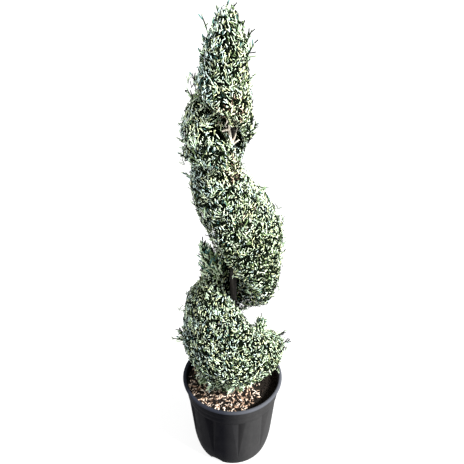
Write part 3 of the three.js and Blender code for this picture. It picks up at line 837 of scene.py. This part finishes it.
def growSprays(rng, tip, heading, length, width, sides, bending):
    # each spray is a bent main strand with side strands that fork from it to either side
    count = len(tip)
    width = np.broadcast_to(width, count)
    bend = unit(rng.normal(size=(count, 3)) + [0, 0, 0.3])
    bend = bend * (bending * rng.uniform(*fork["bend"], count))[:, None]
    base = tip - (heading + bend) * length[:, None]
    main = strands(base, heading, length, width, bend, bentStrand)
    flat = unit(np.cross(heading, rng.normal(size=(count, 3))))
    of = np.repeat(np.arange(count), sides)
    order = np.tile(np.arange(sides), count)
    spot = (order + rng.uniform(*fork["place"], len(of))) / (sides + 0.3)
    forward, run, count = heading[of], length[of], len(of)
    side = np.where(order % 2, 1.0, -1.0)[:, None] * flat[of] + fork["scatter"] * rng.normal(size=(count, 3))
    heads = unit(forward * rng.uniform(*fork["ahead"], count)[:, None] + unit(side) * fork["aside"])
    start = base[of] + forward * (run * spot)[:, None] + bend[of] * (run * spot ** 2)[:, None]
    reach = (fork["least"] + fork["share"] * run * (1.15 - spot)) * rng.uniform(*fork["vary"], count)
    slim = width[of] * rng.uniform(0.8, 1.0, count)
    return main, strands(start, heads, reach, slim, (forward - heads) * fork["curl"], plainStrand), of


def pieceOf(name, parts):
    # parts are points, faces and a colour for each face
    return toObject(name, *joined(parts), leafMaterials, np.concatenate([part[2] for part in parts]))


# mixtures of colours inside, where the dark of the deep, gap and middle layers is painted shade: the shares
# at which one gives way to the next
mixtures = {
    "deep": ([], [dark]),
    "gap": ([0.04, 0.2], [green, shade, dark]),
    "middle": ([0.04, 0.2], [green, shade, dark]),
    "stem": ([0.6, 0.9], [shade, green, pale]),
    "tuft": ([0.2, 0.5, 0.75], [dark, green, pale, cream]),
}


def coloured(rng, look, outward, tip):
    # yellower towards the right as painted sunlight, bluer towards the left and dark inside and below as
    # painted shade, tan where they died back
    count = len(tip)
    pick = rng.random(count)
    if look in mixtures:
        shares, kinds = mixtures[look]
        return np.array(kinds)[np.searchsorted(shares, pick, side="right")]
    right = np.clip(outward[:, 0] * 0.5 + 0.5, 0, 1)
    below = np.clip(-outward[:, 2], 0, 1)
    kind = np.where(pick < tones["pale"], pale, cream)
    # painted sunlight: yellow towards the right; painted shade: blue towards the left
    kind[pick > 1 - tones["yellow"] * right] = yellow
    kind[pick < tones["blue"] * (1 - right) ** 2] = blue
    sunless = rng.random(count)
    low = np.clip(1 - tip[:, 2] / tones["low"], 0, 1) * right
    high = np.clip((tip[:, 2] - tones["high"][0]) / tones["high"][1], 0, 1)
    # green and dark as painted shade: low on the right, on undersides, to the right, less of it high up; teal
    # as painted shade towards the left
    for name, color in (("green", green), ("dark", dark)):
        always, lowDown, under, aside, up = tones[name]
        kind[sunless < always + lowDown * low + under * below + aside * right ** 2 + up * high] = color
    kind[(kind == green) & (pick < tones["teal"][0] - tones["teal"][1] * right)] = teal
    for x, y, z, size in dead:
        near = np.linalg.norm(tip - [x, y, z], axis=1) < size * rng.uniform(0.5, 1.2, count)
        kind[near] = rng.choice([tan, brown, yellow, cream], near.sum())
    return kind


def headings(rng, placeAt, level, around, tip):
    # mostly upwards along the surface, wandering smoothly from place to place, and leaning outwards
    step = 0.01
    outward = unit(placeAt(level, 1.0, around) - placeAt(level, 0.5, around))
    across = placeAt(level, 1.0, around + step) - placeAt(level, 1.0, around - step)
    onwards = placeAt(level + step, 1.0, around) - placeAt(level - step, 1.0, around)
    normal = unit(np.cross(across, onwards))
    normal *= np.sign((normal * outward).sum(1))[:, None]
    upright = unit(np.array([0, 0, 1.0]) - normal * normal[:, 2:] + 0.02 * outward)
    angle = swirl["turn"] * softNoise(tip / swirl["size"], 7) + swirl["own"] * rng.normal(size=len(tip))
    heading = np.cos(angle)[:, None] * upright + np.sin(angle)[:, None] * np.cross(normal, upright)
    return unit(heading + swirl["lift"] * rng.uniform(0.5, 1.4, len(tip))[:, None] * normal), outward


def isClear(tip):
    # clear of the trunk and the bark chips, and not in an opening
    away = np.hypot(*(tip - trunkMiddle(tip[:, 2]))[:, :2].T)
    keep = (away > along(trunk["radii"], tip[:, 2]) + trunk["clearance"]) & (tip[:, 2] > soil["middle"] + 8)
    for x, y, z, radius in hollows:
        keep &= np.linalg.norm(tip - [x, y, z], axis=1) > radius
    return keep


def growLayer(rng, layer, placeAt, low, high, inward):
    level, around = spots(rng, placeAt, low, high, inward, layer["area"])
    if layer["look"] == "tuft":     # none on the undersides
        rising = np.sin(around) > habit["underside"]
        level, around = level[rising], around[rising]
    count = len(level)
    swell = 1 + swirl["swell"] * softNoise(placeAt(level, 1.0, around) / swirl["wave"], 8)
    tip = placeAt(level, rng.uniform(*layer["end"], count) * swell, around)
    heading, outward = headings(rng, placeAt, level, around, tip)
    deep = layer["look"] == "deep"
    if deep:
        heading = unit(outward + 0.3 * rng.normal(size=(count, 3)))
    room = np.linalg.norm(tip - placeAt(level, 0.1, around), axis=1)
    length = np.minimum(rng.uniform(*layer["length"], count), room)
    width = np.minimum(layer["width"], habit["slim"] * room) * rng.uniform(*habit["vary"], count)
    keep = isClear(tip)
    tip, heading, length, width, outward = (part[keep] for part in (tip, heading, length, width, outward))
    # shorter where the surface falls back below a corner, so that no foot hangs in the air
    foot = tip - heading * length[:, None]
    bare = np.hypot(foot[:, 0], foot[:, 1]) > crownReach(foot[:, 2], np.arctan2(foot[:, 1], foot[:, 0]))
    length = np.where(bare, habit["hanging"] * length, length)
    main, forks, of = growSprays(rng, tip, heading, length, width, layer["sides"],
                                 habit["deepBending" if deep else "bending"])
    parts = [(*main, np.repeat(coloured(rng, layer["stem"], outward, tip), bentFaces))]
    if layer["sides"]:
        parts.append((*forks, np.repeat(coloured(rng, layer["look"], outward[of], tip[of]), plainFaces)))
    return parts


def growMass(name, rng, placeAt, low, high, heartOf, inward):
    # inward is how thickly the side next to the trunk is covered
    parts = []
    for layer in layers:
        parts += growLayer(rng, layer, placeAt, low, high, inward)
    level, around = spots(rng, placeAt, low, high, inward, twigs["area"])
    ends = placeAt(level, rng.uniform(*twigs["end"], len(level)), around)
    feet = heartOf(level, around, rng)
    length = np.linalg.norm(ends - feet, axis=1)
    twig = strands(feet, unit(ends - feet), length, np.full(len(length), twigs["width"]),
                   np.zeros_like(feet) + [0, 0, twigs["arch"]], bentStrand)
    return pieceOf(name, parts), twig


def ribbonHeart(index):
    heartTurn = sum(massTurns(index)) / 2

    def heartOf(level, around, rng):
        pulled = heartTurn + (level - heartTurn) * heart["pull"]
        return ribbonPoint(pulled, rng.uniform(*heart["inside"], len(level)), around) - [0, 0, heart["drop"]]
    return heartOf


def leaderHeart(level, around, rng):
    lower = np.clip(level - rng.uniform(*heart["below"], len(level)), leader["low"] - 6, trunk["tip"])
    return trunkMiddle(lower)


def growShoots(rng):
    # the long shoots, each a plume of sprays on a slim stem
    rows = list(shoots)
    for tuft in tufts:
        first, last = np.array(tuft["first"]), np.array(tuft["last"])
        for share in np.linspace(0, 1, tuft["count"]):
            rows.append(first + (last - first) * share + rng.normal(0, 1, 5) * tuft["spread"])
    azimuth, height, reach, length, rise = np.array(rows, float).T
    azimuth, rise = np.radians(azimuth), np.radians(rise)
    tip = polar(reach, azimuth, height)
    heading = polar(np.cos(rise), azimuth, np.sin(rise))
    length = length * shootSprays["longer"]
    main, forks, of = growSprays(rng, tip, heading, length, **shootSprays["growth"])
    kind = rng.choice([dark, dark, teal, green, pale, cream, cream], len(of))
    return [(*main, np.full(len(main[1]), shade)), (*forks, np.repeat(kind, plainFaces))]


# the lowest sprays, which droop over the bark at the front and the left, and their reach by azimuth
skirt = {
    "count": 110, "reach": [[165, 128], [215, 124], [240, 108], [270, 92], [320, 84]], "tips": (298, 322),
    "length": (26, 44), "longer": 45, "steeper": 1.6, "growth": {"width": 2.5, "sides": 9, "bending": 0.3},
}


def growSkirt(rng):
    count = skirt["count"]
    turns, reaches = np.array(skirt["reach"]).T
    azimuth = rng.uniform(turns[0], turns[-1], count)
    reach = np.interp(azimuth, turns, reaches) * rng.uniform(0.7, 1, count)
    # at the left the crown ends higher, so the sprays there are longer and hang more steeply
    higher = np.interp(azimuth, turns[:2], [1, 0])
    azimuth = np.radians(azimuth)
    tip = polar(reach, azimuth, rng.uniform(*skirt["tips"], count))
    drop = rng.uniform(-0.9, 0, count) - skirt["steeper"] * higher
    heading = unit(polar(np.ones(count), azimuth + rng.normal(0, 0.5, count), drop))
    length = rng.uniform(*skirt["length"], count) + skirt["longer"] * higher
    main, forks, of = growSprays(rng, tip, heading, length, **skirt["growth"])
    kind = rng.choice([shade, green, pale, cream, blue], len(tip), p=[0.25, 0.2, 0.25, 0.2, 0.1])
    return [(*main, np.repeat(kind, bentFaces)), (*forks, np.repeat(kind[of], plainFaces))]


def growFoliage():
    masses = [(f"Mass{k + 1:02d}", f"foliage_{k + 1:02d}", k, ribbonPoint, *massTurns(k), ribbonHeart(k), 0.5)
              for k in range(ribbon["masses"])]
    masses.append(("Leader", "leader", 90, leaderPoint, leader["low"], leader["top"] - 6, leaderHeart, 1.0))
    twigParts = []
    for name, node, seed, *shape in masses:
        rng = np.random.default_rng(foliageSeed + seed)
        leaves, twig = growMass("foliage" + name, rng, *shape)
        finishPiece(leaves, "foliage", node)
        twigParts.append(twig)
    finishPiece(pieceOf("strayShoots", growShoots(rng)), "foliage")
    finishPiece(pieceOf("lowestSprays", growSkirt(rng)), "foliage")
    finishPiece(toObject("twigs", *joined(twigParts), [bark]), "bark")
    print("the foliage has grown")


growFoliage()


# floor, light and camera

floorPaper = {"color": (0.16, 0.16, 0.16), "glow": 0.86, "reach": 60000}
studio = {"around": 1.05, "sun": 10.4, "azimuth": -30, "elevation": 40, "softness": 9}
view = {"back": 1.1222, "height": 1.4672, "tilt": 29.893}
lens = {"lens": 37.24, "sensor_width": 36, "shift_x": -0.001, "clip_start": 0.02}


def makeFloor():
    material = newMaterial("floorPaper", floorPaper["color"], 0.9, 0.0)
    setShader(material, {"Emission Color": (1, 1, 1), "Emission Strength": floorPaper["glow"]})
    reach = floorPaper["reach"]
    corners = [[-reach, -reach, 0], [reach, -reach, 0], [reach, reach, 0], [-reach, reach, 0]]
    toObject("floor", corners, [[0, 1, 2, 3]], [material])


def lightStudio():
    # an even white sky and one sun, whose azimuth is where it stands, turned from +X towards +Y
    world = bpy.data.worlds.new("studio")
    bpy.context.scene.world = world
    world.use_nodes = True
    setInputs(world.node_tree.nodes["Background"], {"Color": (1, 1, 1), "Strength": studio["around"]})
    sun = bpy.data.lights.new("keySun", "SUN")
    sun.energy = studio["sun"]
    sun.angle = math.radians(studio["softness"])
    lamp = linked("keySun", sun)
    lamp.rotation_euler = (math.radians(90 - studio["elevation"]), 0, math.radians(studio["azimuth"] + 90))
    bpy.context.scene.view_settings.view_transform = "Standard"


def addCamera():
    camera = linked("camera", bpy.data.cameras.new("camera"))
    camera.location = (0, -view["back"], view["height"])
    camera.rotation_euler = (math.radians(90 - view["tilt"]), 0, 0)
    for key, value in lens.items():
        setattr(camera.data, key, value)
    bpy.context.scene.camera = camera


makeFloor()
lightStudio()
addCamera()
print("floor, light and camera are set")
